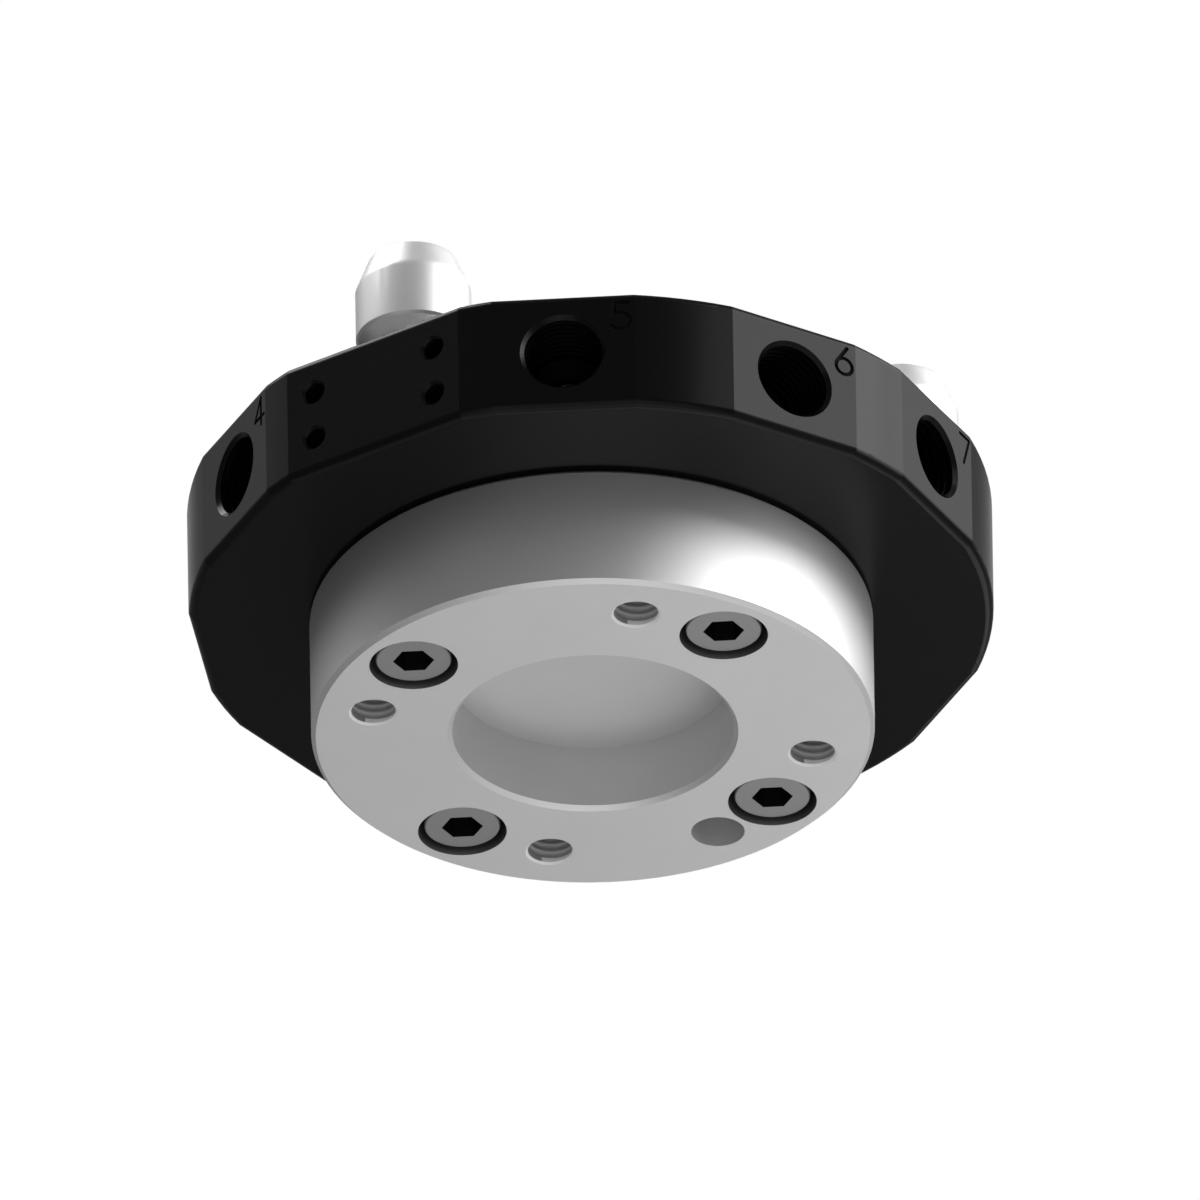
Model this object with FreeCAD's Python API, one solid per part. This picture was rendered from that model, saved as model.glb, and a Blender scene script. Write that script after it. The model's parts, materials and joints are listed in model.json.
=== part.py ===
# Tool side of a robotic tool changer: a round black plate with eight air ports and three
# mushroom-headed locking studs, carrying a round adapter flange for the robot tool.
# Units are millimetres. The origin is the centre of the flange's free face, +Z points to
# the studs, and the flat for the electrical module faces -Y.
import FreeCAD, Part
import math
import os

from FreeCAD import Vector

# Adapter flange
FLANGE_DIA = 63.0
FLANGE_THICK = 15.0
FLANGE_EDGE_CHAMFER = 0.5
CENTRING_DIA = 31.5
CENTRING_DEPTH = 8.1
CENTRING_CHAMFER = 0.5

# Tool interface in the flange's free face
TOOL_CIRCLE_DIA = 50.0
TOOL_THREAD_COUNT = 4
TOOL_THREAD_FIRST_ANGLE = 45.0
TOOL_THREAD_CORE = 5.0
TOOL_THREAD_DEPTH = 11.0
TOOL_THREAD_CHAMFER = 0.25
TOOL_DOWEL_DIA = 6.0
TOOL_DOWEL_DEPTH = 8.0
TOOL_DOWEL_ANGLE = 90.0

# Screws that hold the flange on the plate, set in from the flange's rim
SCREW_COUNT = 4
SCREW_FIRST_ANGLE = 70.0
SCREW_INSET = 6.7
SCREW_DIA = 5.0
SCREW_LENGTH = 20.0
SCREW_HEAD_DIA = 8.5
SCREW_HEAD_HEIGHT = 5.0
SCREW_HEAD_BEVEL = 0.35
SCREW_KEY = 4.0
SCREW_KEY_DEPTH = 2.6
SCREW_KEY_ANGLE = 30.0
SCREW_END_CHAMFER = 0.6
SCREW_SINK = 0.58
COUNTERBORE_DIA = 9.94
SCREW_HOLE_PLAY = 0.25

# Pins that locate the flange on the plate, set in from the flange's rim
PIN_COUNT = 2
PIN_FIRST_ANGLE = 12.5
PIN_INSET = 6.5
PIN_DIA = 5.0
PIN_LENGTH = 12.0
PIN_END_CHAMFER = 0.5
PIN_PLAY = 0.02
PIN_END_ROOM = 0.5

# Tool plate
PLATE_DIA = 90.0
PLATE_THICK = 15.0
PLATE_EDGE_ROUND = 1.0

# Air ports in the rim, numbered 1 to 8 by their angle from the module flat
PORT_ANGLES = [-150.0, -95.0, -65.0, -30.0, 30.0, 65.0, 95.0, 150.0]
PORT_FLAT_WIDTH = 16.0
PORT_CORE_DIA = 8.8
PORT_CORE_DEPTH = 8.5
PORT_MOUTH_CHAMFER = 0.45

# Air passages from the ports to the face that meets the robot side, set in from the rim
PASSAGE_DIA = 4.0
PASSAGE_INSET = 13.5
CROSS_DRILL_DIA = 5.0
CROSS_DRILL_PAST = 0.3

# Rubber rings in the passage mouths
SEAL_INNER_DIA = 5.0
SEAL_WIDTH = 1.8
SEAL_HEIGHT = 1.8
SEAL_BEVEL = 0.45
SEAL_PROUD = 0.35
SEAL_PLAY = 0.05

# Flat and threads for the electrical module
MODULE_FLAT_WIDTH = 23.0
MODULE_SPACING_WIDE = 16.0
MODULE_SPACING_HIGH = 6.0
MODULE_THREAD_CORE = 2.5
MODULE_THREAD_DEPTH = 7.0
MODULE_THREAD_CHAMFER = 0.3
MODULE_ANGLE = -90.0

# Locking studs, set in from the rim
STUD_COUNT = 3
STUD_INSET = 10.0
STUD_THREAD_DIA = 8.0
STUD_THREAD_LENGTH = 8.0
STUD_COLLAR_DIA = 11.0
STUD_COLLAR_HEIGHT = 2.5
STUD_COLLAR_PLAY = 0.02
STUD_NECK_DIA = 6.8
STUD_NECK_HEIGHT = 3.5
STUD_HEAD_DIA = 13.0
STUD_HEAD_HEIGHT = 6.4
STUD_HEAD_BEVEL = 0.3
STUD_NOSE_HEIGHT = 4.1
STUD_NOSE_DIA = 9.8
STUD_NOSE_ROUND = 0.6
STUD_KEY = 5.0
STUD_KEY_DEPTH = 4.0
STUD_KEY_ANGLE = 0.0
STUD_END_CHAMFER = 0.8

# Threads are left plain: the hole is wider than the screw by this gap all round
THREAD_GAP = 0.05
THREAD_END_ROOM = 1.2
DRILL_POINT = 118.0

# Cutting shapes start this far outside the face that they cut
OVERRUN = 1.0

# Heights and radii that follow from the sizes above
PLATE_BOTTOM = FLANGE_THICK
PLATE_TOP = PLATE_BOTTOM + PLATE_THICK
PLATE_R = PLATE_DIA / 2
SCREW_R = FLANGE_DIA / 2 - SCREW_INSET
PIN_R = FLANGE_DIA / 2 - PIN_INSET
PASSAGE_R = PLATE_R - PASSAGE_INSET
STUD_R = PLATE_R - STUD_INSET
PORT_HEIGHT = PLATE_BOTTOM + PLATE_THICK / 2
COUNTERBORE_DEPTH = SCREW_HEAD_HEIGHT + SCREW_SINK
UP = Vector(0, 0, 1)
DOWN = Vector(0, 0, -1)


def place(radius, angle, height):
    """Point at a radius and an angle in degrees about the axis."""
    turn = math.radians(angle)
    return Vector(radius * math.cos(turn), radius * math.sin(turn), height)


def outward(angle):
    """Direction away from the axis at an angle in degrees."""
    return place(1.0, angle, 0.0)


def ring_angles(first, count):
    """Angles of evenly spaced copies around the axis."""
    return [first + 360.0 * i / count for i in range(count)]


def turned(points):
    """Solid of revolution about Z from a closed outline of (radius, height) points."""
    outline = Part.makePolygon([Vector(r, 0, z) for r, z in points + points[:1]])
    return Part.Face(outline).revolve(Vector(0, 0, 0), UP, 360)


def drilled(dia, depth, mouth, direction, chamfer=0.0, pointed=True):
    """Tool solid for a blind hole: straight wall, chamfered mouth and drill point."""
    r = dia / 2
    points = [(0, -OVERRUN), (r + chamfer, -OVERRUN), (r + chamfer, 0)]
    points += [(r, chamfer), (r, depth)] if chamfer else [(r, depth)]
    tip = r / math.tan(math.radians(DRILL_POINT / 2)) if pointed else 0.0
    hole = turned(points + [(0, depth + tip)])
    hole.Placement = FreeCAD.Placement(mouth, FreeCAD.Rotation(UP, direction))
    return hole


def hexagon(width, depth, centre, direction, angle):
    """Tool solid for a hexagon socket of a given key width."""
    corner = width / math.sqrt(3)
    corners = [place(corner, angle + 60.0 * i, 0) for i in range(7)]
    socket = Part.Face(Part.makePolygon(corners)).extrude(Vector(0, 0, depth))
    socket.translate(centre if direction.z > 0 else centre - Vector(0, 0, depth))
    return socket


def rim_edges(shape, height):
    """Edges of the outer outline that lie flat at a height."""
    def flat(edge):
        return all(abs(v.Z - height) < 1e-6 for v in edge.Vertexes)
    return [e for e in shape.Edges if flat(e)]


def flat_distance(width):
    """Distance from the axis of a flat that is this wide on the plate's rim."""
    return math.sqrt(PLATE_R ** 2 - (width / 2) ** 2)


def flat_cutter(angle, width):
    """Moulding cutter that leaves a flat with rounded edges on the plate's rim."""
    face, r = flat_distance(width), PLATE_EDGE_ROUND
    low, high, out, over = PLATE_BOTTOM, PLATE_TOP, PLATE_DIA, PLATE_THICK
    bow = r * math.sin(math.radians(45))
    upper = Part.Arc(Vector(face, 0, high - r), Vector(face - r + bow, 0, high - r + bow),
                     Vector(face - r, 0, high)).toShape()
    lower = Part.Arc(Vector(face - r, 0, low), Vector(face - r + bow, 0, low + r - bow),
                     Vector(face, 0, low + r)).toShape()
    back = Part.makePolygon([
        Vector(face - r, 0, high), Vector(face - r, 0, high + over), Vector(out, 0, high + over),
        Vector(out, 0, low - over), Vector(face - r, 0, low - over), Vector(face - r, 0, low)])
    front = Part.makeLine(Vector(face, 0, low + r), Vector(face, 0, high - r))
    outline = Part.Wire([front, upper] + back.Edges + [lower])
    cutter = Part.Face(outline).extrude(Vector(0, 2 * PLATE_DIA, 0))
    cutter.translate(Vector(0, -PLATE_DIA, 0))
    cutter.rotate(Vector(0, 0, 0), UP, angle)
    return cutter


def plate_blank():
    """Round plate with its flats and rounded rims, before any hole."""
    blank = Part.makeCylinder(PLATE_R, PLATE_THICK, Vector(0, 0, PLATE_BOTTOM))
    rims = rim_edges(blank, PLATE_BOTTOM) + rim_edges(blank, PLATE_TOP)
    blank = blank.makeFillet(PLATE_EDGE_ROUND, rims)
    flats = [flat_cutter(MODULE_ANGLE + a, PORT_FLAT_WIDTH) for a in PORT_ANGLES]
    return blank.cut(flats + [flat_cutter(MODULE_ANGLE, MODULE_FLAT_WIDTH)])


def seal_seat_dia():
    """Diameter of the seat that holds a rubber ring."""
    return SEAL_INNER_DIA + 2 * SEAL_WIDTH + 2 * SEAL_PLAY


def seal_seat_depth():
    """Depth of the seat, from which the rubber ring stands proud."""
    return SEAL_HEIGHT - SEAL_PROUD


def port_tools(angle):
    """Port thread, cross drilling, riser and seal seat of one air line."""
    face = flat_distance(PORT_FLAT_WIDTH)
    inward = outward(angle) * -1
    riser_r = PASSAGE_R
    riser_foot = place(riser_r, angle, PORT_HEIGHT)
    riser_top = place(riser_r, angle, PLATE_TOP)
    port = drilled(PORT_CORE_DIA, PORT_CORE_DEPTH, place(face, angle, PORT_HEIGHT), inward,
                   PORT_MOUTH_CHAMFER)
    reach = face - riser_r + PASSAGE_DIA / 2 + CROSS_DRILL_PAST
    cross = drilled(CROSS_DRILL_DIA, reach, place(face, angle, PORT_HEIGHT), inward)
    riser = Part.makeCylinder(PASSAGE_DIA / 2, PLATE_THICK / 2 + OVERRUN, riser_foot, UP)
    seat = drilled(seal_seat_dia(), seal_seat_depth(), riser_top, DOWN, pointed=False)
    return [port, cross, riser, seat]


def module_tools():
    """Four small threads in the flat for the electrical module."""
    face = flat_distance(MODULE_FLAT_WIDTH)
    inward = outward(MODULE_ANGLE) * -1
    along = outward(MODULE_ANGLE + 90)
    tools = []
    for side in (-0.5, 0.5):
        for level in (-0.5, 0.5):
            mouth = place(face, MODULE_ANGLE, PORT_HEIGHT + level * MODULE_SPACING_HIGH)
            mouth += along * (side * MODULE_SPACING_WIDE)
            tools.append(drilled(MODULE_THREAD_CORE, MODULE_THREAD_DEPTH, mouth, inward,
                                 MODULE_THREAD_CHAMFER))
    return tools


def stud_tools(angle):
    """Counterbore and thread for one locking stud."""
    top = place(STUD_R, angle, PLATE_TOP)
    depth = STUD_COLLAR_HEIGHT + STUD_THREAD_LENGTH + THREAD_END_ROOM
    seat = drilled(STUD_COLLAR_DIA + 2 * STUD_COLLAR_PLAY, STUD_COLLAR_HEIGHT, top, DOWN,
                   pointed=False)
    thread = drilled(STUD_THREAD_DIA + 2 * THREAD_GAP, depth, top, DOWN)
    return [seat, thread]


def tool_plate():
    """Black plate that the robot side locks on to."""
    tools = module_tools()
    for angle in PORT_ANGLES:
        tools += port_tools(MODULE_ANGLE + angle)
    for angle in ring_angles(MODULE_ANGLE, STUD_COUNT):
        tools += stud_tools(angle)
    reach = SCREW_LENGTH + COUNTERBORE_DEPTH - FLANGE_THICK + THREAD_END_ROOM
    for angle in ring_angles(SCREW_FIRST_ANGLE, SCREW_COUNT):
        mouth = place(SCREW_R, angle, PLATE_BOTTOM)
        tools.append(drilled(SCREW_DIA + 2 * THREAD_GAP, reach, mouth, UP))
    for angle in ring_angles(PIN_FIRST_ANGLE, PIN_COUNT):
        mouth = place(PIN_R, angle, PLATE_BOTTOM)
        tools.append(drilled(PIN_DIA + 2 * PIN_PLAY, PIN_LENGTH / 2 + PIN_END_ROOM, mouth, UP))
    return plate_blank().cut(tools)


def flange_blank():
    """Turned flange with its centring recess."""
    r, c = FLANGE_DIA / 2, FLANGE_EDGE_CHAMFER
    bore, lead = CENTRING_DIA / 2, CENTRING_CHAMFER
    return turned([
        (0, CENTRING_DEPTH), (bore, CENTRING_DEPTH), (bore, lead), (bore + lead, 0),
        (r - c, 0), (r, c), (r, FLANGE_THICK - c), (r - c, FLANGE_THICK), (0, FLANGE_THICK)])


def adapter_flange():
    """Aluminium flange with the pattern that the robot tool bolts to."""
    tools = []
    for angle in ring_angles(TOOL_THREAD_FIRST_ANGLE, TOOL_THREAD_COUNT):
        tools.append(drilled(TOOL_THREAD_CORE, TOOL_THREAD_DEPTH,
                             place(TOOL_CIRCLE_DIA / 2, angle, 0), UP, TOOL_THREAD_CHAMFER))
    dowel = place(TOOL_CIRCLE_DIA / 2, TOOL_DOWEL_ANGLE, 0)
    tools.append(drilled(TOOL_DOWEL_DIA, TOOL_DOWEL_DEPTH, dowel, UP))
    for angle in ring_angles(SCREW_FIRST_ANGLE, SCREW_COUNT):
        mouth = place(SCREW_R, angle, 0)
        tools.append(drilled(COUNTERBORE_DIA, COUNTERBORE_DEPTH, mouth, UP, pointed=False))
        tools.append(drilled(SCREW_DIA + 2 * SCREW_HOLE_PLAY, FLANGE_THICK + OVERRUN, mouth, UP))
    for angle in ring_angles(PIN_FIRST_ANGLE, PIN_COUNT):
        mouth = place(PIN_R, angle, FLANGE_THICK)
        tools.append(drilled(PIN_DIA + 2 * PIN_PLAY, PIN_LENGTH / 2 + PIN_END_ROOM, mouth, DOWN))
    return flange_blank().cut(tools)


def flange_screw(angle):
    """Socket head screw, head down in its counterbore."""
    head, shank, c = SCREW_HEAD_DIA / 2, SCREW_DIA / 2, SCREW_END_CHAMFER
    bevel = SCREW_HEAD_BEVEL
    seat = SCREW_SINK + SCREW_HEAD_HEIGHT
    tip = seat + SCREW_LENGTH
    screw = turned([
        (0, SCREW_SINK), (head - bevel, SCREW_SINK), (head, SCREW_SINK + bevel), (head, seat),
        (shank, seat), (shank, tip - c), (shank - c, tip), (0, tip)])
    mouth = Vector(0, 0, SCREW_SINK - OVERRUN)
    screw = screw.cut(hexagon(SCREW_KEY, SCREW_KEY_DEPTH + OVERRUN, mouth, UP, SCREW_KEY_ANGLE))
    screw.translate(place(SCREW_R, angle, 0))
    return screw


def locating_pin(angle):
    """Dowel pin, half in the flange and half in the plate."""
    r, c, half = PIN_DIA / 2, PIN_END_CHAMFER, PIN_LENGTH / 2
    pin = turned([(0, -half), (r - c, -half), (r, c - half), (r, half - c), (r - c, half), (0, half)])
    pin.translate(place(PIN_R, angle, FLANGE_THICK))
    return pin


def locking_stud(angle):
    """Mushroom-headed stud with a centring collar and a thread below it."""
    thread, collar, neck = STUD_THREAD_DIA / 2, STUD_COLLAR_DIA / 2, STUD_NECK_DIA / 2
    head, nose, c = STUD_HEAD_DIA / 2, STUD_NOSE_DIA / 2, STUD_END_CHAMFER
    bevel = STUD_HEAD_BEVEL
    seat = PLATE_TOP - STUD_COLLAR_HEIGHT
    tip = seat - STUD_THREAD_LENGTH
    under = PLATE_TOP + STUD_NECK_HEIGHT
    shoulder = under + STUD_HEAD_HEIGHT
    top = shoulder + STUD_NOSE_HEIGHT
    stud = turned([
        (0, tip), (thread - c, tip), (thread, tip + c), (thread, seat), (collar, seat),
        (collar, PLATE_TOP), (neck, PLATE_TOP), (neck, under), (head - bevel, under),
        (head, under + bevel), (head, shoulder), (nose, top), (0, top)])
    stud = stud.makeFillet(STUD_NOSE_ROUND, rim_edges(stud, top))
    mouth = Vector(0, 0, top + OVERRUN)
    stud = stud.cut(hexagon(STUD_KEY, STUD_KEY_DEPTH + OVERRUN, mouth, DOWN, STUD_KEY_ANGLE))
    stud.translate(place(STUD_R, angle, 0))
    return stud


def air_seal(angle):
    """Moulded rubber ring in the seat round one air passage, with a bevelled lip that stands proud."""
    inner = SEAL_INNER_DIA / 2
    outer, bevel, high = inner + SEAL_WIDTH, SEAL_BEVEL, SEAL_HEIGHT
    ring = turned([
        (inner, 0), (outer, 0), (outer, high - bevel), (outer - bevel, high),
        (inner + bevel, high), (inner, high - bevel)])
    ring.translate(place(PASSAGE_R, angle, PLATE_TOP - seal_seat_depth()))
    return ring


def build():
    """All pieces by name."""
    pieces = {"tool_plate": tool_plate(), "adapter_flange": adapter_flange()}
    for i, angle in enumerate(ring_angles(SCREW_FIRST_ANGLE, SCREW_COUNT), 1):
        pieces[f"flange_screw_{i}"] = flange_screw(angle)
    for i, angle in enumerate(ring_angles(PIN_FIRST_ANGLE, PIN_COUNT), 1):
        pieces[f"locating_pin_{i}"] = locating_pin(angle)
    for i, angle in enumerate(ring_angles(MODULE_ANGLE, STUD_COUNT), 1):
        pieces[f"locking_stud_{i}"] = locking_stud(angle)
    for i, angle in enumerate(PORT_ANGLES, 1):
        pieces[f"air_seal_{i}"] = air_seal(MODULE_ANGLE + angle)
    return pieces


os.makedirs("parts", exist_ok=True)
for name, shape in build().items():
    shape.exportStep(f"parts/{name}.step")
    print(name, len(shape.Solids), "solid", round(shape.Volume, 1), "mm3")
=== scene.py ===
# %% [markdown]
# Robotic tool changer, tool side: the looks.
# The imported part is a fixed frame: every piece is already in its place, in metres. This file gives each
# piece its finish, and dresses the plate, the flange, the screws and the studs with the detail that a maker
# cuts last: threads, a knurl and engraved port numbers. Each step starts with a note on what the real thing
# is and how it could be made in Blender.

# %% Load the frame
import bmesh
import bpy
import json
import math
from mathutils import Matrix, Vector


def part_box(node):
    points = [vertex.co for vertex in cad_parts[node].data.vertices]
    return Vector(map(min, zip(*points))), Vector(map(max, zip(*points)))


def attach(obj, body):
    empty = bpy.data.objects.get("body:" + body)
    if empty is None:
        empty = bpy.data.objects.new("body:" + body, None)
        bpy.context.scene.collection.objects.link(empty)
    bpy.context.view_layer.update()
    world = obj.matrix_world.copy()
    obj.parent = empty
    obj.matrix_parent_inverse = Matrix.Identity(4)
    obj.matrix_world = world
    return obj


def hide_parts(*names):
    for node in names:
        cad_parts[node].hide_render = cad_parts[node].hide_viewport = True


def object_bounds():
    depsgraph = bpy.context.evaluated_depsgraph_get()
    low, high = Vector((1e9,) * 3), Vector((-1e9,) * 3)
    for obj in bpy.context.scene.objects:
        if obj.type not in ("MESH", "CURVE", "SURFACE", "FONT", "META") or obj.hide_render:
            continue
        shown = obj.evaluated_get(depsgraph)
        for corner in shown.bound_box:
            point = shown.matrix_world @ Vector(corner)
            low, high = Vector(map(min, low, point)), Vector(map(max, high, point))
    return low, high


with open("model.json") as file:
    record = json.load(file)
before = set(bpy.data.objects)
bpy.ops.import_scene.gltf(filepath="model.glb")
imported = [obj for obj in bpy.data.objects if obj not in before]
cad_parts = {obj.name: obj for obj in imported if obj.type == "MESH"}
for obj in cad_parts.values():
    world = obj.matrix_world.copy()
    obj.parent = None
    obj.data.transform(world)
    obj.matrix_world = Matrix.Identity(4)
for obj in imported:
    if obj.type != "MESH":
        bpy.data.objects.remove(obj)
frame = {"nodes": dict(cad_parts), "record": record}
NODES = frame["nodes"]
MOUNTS = {mount["name"]: mount for mount in frame["record"]["mounts"]}
MM = 0.001
MICRON = 0.000001
cad_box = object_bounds()
for plain in list(bpy.data.materials):
    bpy.data.materials.remove(plain)


def in_mm(box):
    """The two corners of a box in millimetres, for printing."""
    return [[round(v / MM, 2) for v in corner] for corner in box]


print("pieces in the frame:", len(NODES), "box in mm:", in_mm(cad_box))

# %% [markdown]
# The camera. A parallel camera keeps circles as clean ellipses, so it has no distance that matters, only
# a direction and a width. It looks up at the part from 32.5 degrees below, with image right at 33.4
# degrees round from +X. The three directions of the camera are worked out as vectors and put straight
# into its matrix, which is easier to check than three turns one after another.

# %% Camera
VIEW_TURN = math.radians(33.42)
VIEW_BELOW = math.radians(32.52)
VIEW_ROLL = math.radians(-0.943)
VIEW_WIDTH = 0.134093
VIEW_CENTRE = (0.000776, 0.0149)
VIEW_DISTANCE = 0.6
VIEW_STARTS = 0.01

scene = bpy.context.scene
level_right = Vector((math.cos(VIEW_TURN), math.sin(VIEW_TURN), 0))
away = Vector((-math.sin(VIEW_TURN), math.cos(VIEW_TURN), 0))
level_up = math.cos(VIEW_BELOW) * Vector((0, 0, 1)) - math.sin(VIEW_BELOW) * away
view_right = level_right * math.cos(VIEW_ROLL) + level_up * math.sin(VIEW_ROLL)
view_up = level_up * math.cos(VIEW_ROLL) - level_right * math.sin(VIEW_ROLL)
to_camera = view_right.cross(view_up)

camera_data = bpy.data.cameras.new("camera")
camera_data.type = "ORTHO"
camera_data.ortho_scale = VIEW_WIDTH
camera_data.clip_start = VIEW_STARTS
camera = bpy.data.objects.new("camera", camera_data)
scene.collection.objects.link(camera)
spot = view_right * VIEW_CENTRE[0] + view_up * VIEW_CENTRE[1] + to_camera * VIEW_DISTANCE
camera_turn = Matrix((view_right, view_up, to_camera)).transposed().to_4x4()
camera.matrix_world = Matrix.Translation(spot) @ camera_turn
scene.camera = camera
print("camera at", [round(v, 3) for v in spot], "looking along", [round(-v, 3) for v in to_camera])

# %% [markdown]
# Nodes by script. A link joins an output socket to an input socket, so three small helpers do all the
# wiring of this file: one adds a node with its values, one links pairs of sockets, and one is a Math node
# that takes numbers and sockets alike. A Mix node keeps separate sockets for numbers and for colours under
# the same names, so its sockets are found by their places.

# %% Helpers for nodes
MIX_FACTOR = 0
MIX_NUMBER_A, MIX_NUMBER_B, MIX_NUMBER_OUT = 2, 3, 0
MIX_COLOUR_A, MIX_COLOUR_B, MIX_COLOUR_OUT = 6, 7, 2


def node(tree, kind, **values):
    """Adds a node. Values whose names are its settings are set, and the others go to its sockets."""
    made = tree.nodes.new(kind)
    for name, value in values.items():
        if hasattr(made, name):
            setattr(made, name, value)
        else:
            made.inputs[name.replace("_", " ")].default_value = value
    return made


def join(tree, *pairs):
    """Links sockets, given as pairs of an output and an input."""
    for source, target in pairs:
        tree.links.new(source, target)


def calculate(tree, operation, first, second, third=0.0):
    """Output of a Math node whose inputs are numbers or outputs of other nodes."""
    made = node(tree, "ShaderNodeMath", operation=operation)
    for socket, value in zip(made.inputs, (first, second, third)):
        if isinstance(value, bpy.types.NodeSocket):
            tree.links.new(value, socket)
        else:
            socket.default_value = value
    return made.outputs[0]


# %% [markdown]
# The light. A black plate shows what it mirrors more than what it is lit by, so the room matters as much
# as the lamps: the plain room is a dim grey, a row of soft lamps stands high on the right, and weaker ones
# fill in the left and the underside. The camera and clear things see plain white all round. Glossy surfaces
# also see white where the wall behind the part is, but that wall lights nothing, so that it can't wash the
# part out.

# %% World
ROOM = 0.2
WALL_SHARP = 40
WALL_WHITE = 0.6
scene.view_settings.view_transform = "Standard"
world = bpy.data.worlds.new("studio")
scene.world = world
world.use_nodes = True
wires = world.node_tree
wires.nodes.clear()
path = node(wires, "ShaderNodeLightPath")
direction = node(wires, "ShaderNodeTexCoord")
ahead = node(wires, "ShaderNodeVectorMath", operation="DOT_PRODUCT")
ahead.inputs[1].default_value = -to_camera
join(wires, (direction.outputs["Generated"], ahead.inputs[0]))
wall = calculate(wires, "MAXIMUM", ahead.outputs["Value"], 0.0)
wall = calculate(wires, "POWER", wall, WALL_SHARP)
wall = calculate(wires, "MULTIPLY", wall, WALL_WHITE)
room_light = calculate(wires, "MULTIPLY_ADD", wall, path.outputs["Is Glossy Ray"], ROOM)
sees_white = calculate(wires, "MAXIMUM", path.outputs["Is Camera Ray"], path.outputs["Is Transmission Ray"])
or_white = node(wires, "ShaderNodeMix", data_type="FLOAT")
or_white.inputs[MIX_NUMBER_B].default_value = 1.0
background = node(wires, "ShaderNodeBackground")
output = node(wires, "ShaderNodeOutputWorld")
join(wires,
     (sees_white, or_white.inputs[MIX_FACTOR]),
     (room_light, or_white.inputs[MIX_NUMBER_A]),
     (or_white.outputs[MIX_NUMBER_OUT], background.inputs["Color"]),
     (background.outputs[0], output.inputs["Surface"]))
print("world nodes:", len(wires.nodes))

# %% Lamps
AIM = Vector((0, 0, 0.02))
# A stand is the lamp's distance from the aim and the side of its square, in metres.
NEAR = (0.6, 0.35)
FAR = (0.9, 1.0)
# Each lamp has its turn and height in degrees, its stand, and its power in watts.
LAMPS = {
    "key_1": (-40, 32, NEAR, 0.5),
    "key_2": (-20, 32, NEAR, 1.2),
    "key_3": (0, 32, NEAR, 0.8),
    "key_4": (20, 32, NEAR, 0.3),
    "key_wide": (0, 32, FAR, 1.7),
    "side_right": (-12, 3, NEAR, 0.9),
    "back_left": (160, 32, NEAR, 0.14),
    "high_left": (180, 60, NEAR, 1.86),
    "low_back": (60, -30, NEAR, 0.38),
    "under_back": (60, -60, NEAR, 0.3),
    "under_right": (0, -50, FAR, 1.0),
    "under": (0, -90, FAR, 2.0),
    "low_front": (-90, -35, FAR, 1.5),
}


def lamp(name, turn, height, stand, power):
    """Soft square lamp: turn and height are degrees as the camera sees them, from image right towards away."""
    distance, size = stand
    data = bpy.data.lights.new(name, "AREA")
    data.shape = "SQUARE"
    data.size = size
    data.energy = power
    made = bpy.data.objects.new(name, data)
    scene.collection.objects.link(made)
    turn, height = math.radians(turn), math.radians(height)
    level = level_right * math.cos(turn) + away * math.sin(turn)
    towards = level * math.cos(height) + Vector((0, 0, math.sin(height)))
    facing = towards.to_track_quat("Z", "Y").to_matrix().to_4x4()
    made.matrix_world = Matrix.Translation(AIM + towards * distance) @ facing
    made.visible_camera = False
    print("lamp", name, [round(v, 2) for v in made.location], power, "W")


for name, values in LAMPS.items():
    lamp(name, *values)

# %% [markdown]
# The floor is a large pale sheet just under the free face that the part rests on. The camera looks up
# through it, so only its upper side is drawn: Backfacing swaps the underside for a clear surface. It
# takes the part's shadow in the views from above, but gives no light back, so the free face, which lies
# on it, is lit as if the part hung in the room. The lamps stand near the part and would leave the far floor
# grey, so away from the shadow it fades to the same plain white as the background.

# %% Floor sheet
FLOOR_GAP = 0.2 * MM
FLOOR_RADIUS = 1.2
FLOOR_STEPS = 96
floor_height = cad_box[0][2] - FLOOR_GAP
sheet = bmesh.new()
bmesh.ops.create_circle(sheet, cap_ends=True, segments=FLOOR_STEPS, radius=FLOOR_RADIUS)
bmesh.ops.translate(sheet, verts=sheet.verts, vec=(0, 0, floor_height))
floor_mesh = bpy.data.meshes.new("floor")
sheet.to_mesh(floor_mesh)
sheet.free()
floor = bpy.data.objects.new("floor", floor_mesh)
scene.collection.objects.link(floor)
for ray in ("diffuse", "glossy", "transmission", "shadow"):
    setattr(floor, "visible_" + ray, False)
print("floor at", round(floor_height / MM, 2), "mm")

# %% Floor finish
FLOOR_TONE = (0.86, 0.86, 0.86, 1)
FADE_FROM, FADE_TO = 0.08, 0.3
pale = bpy.data.materials.new("pale_floor")
pale.use_nodes = True
tree = pale.node_tree
tree.nodes.clear()
coordinates = node(tree, "ShaderNodeTexCoord")
from_middle = node(tree, "ShaderNodeVectorMath", operation="LENGTH")
fade = node(tree, "ShaderNodeMapRange", interpolation_type="SMOOTHSTEP", From_Min=FADE_FROM, From_Max=FADE_TO)
matt = node(tree, "ShaderNodeBsdfDiffuse", Color=FLOOR_TONE)
white = node(tree, "ShaderNodeEmission", Color=(1, 1, 1, 1), Strength=1.0)
clear = node(tree, "ShaderNodeBsdfTransparent")
side = node(tree, "ShaderNodeNewGeometry")
upper = node(tree, "ShaderNodeMixShader")
either = node(tree, "ShaderNodeMixShader")
result = node(tree, "ShaderNodeOutputMaterial")
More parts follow.
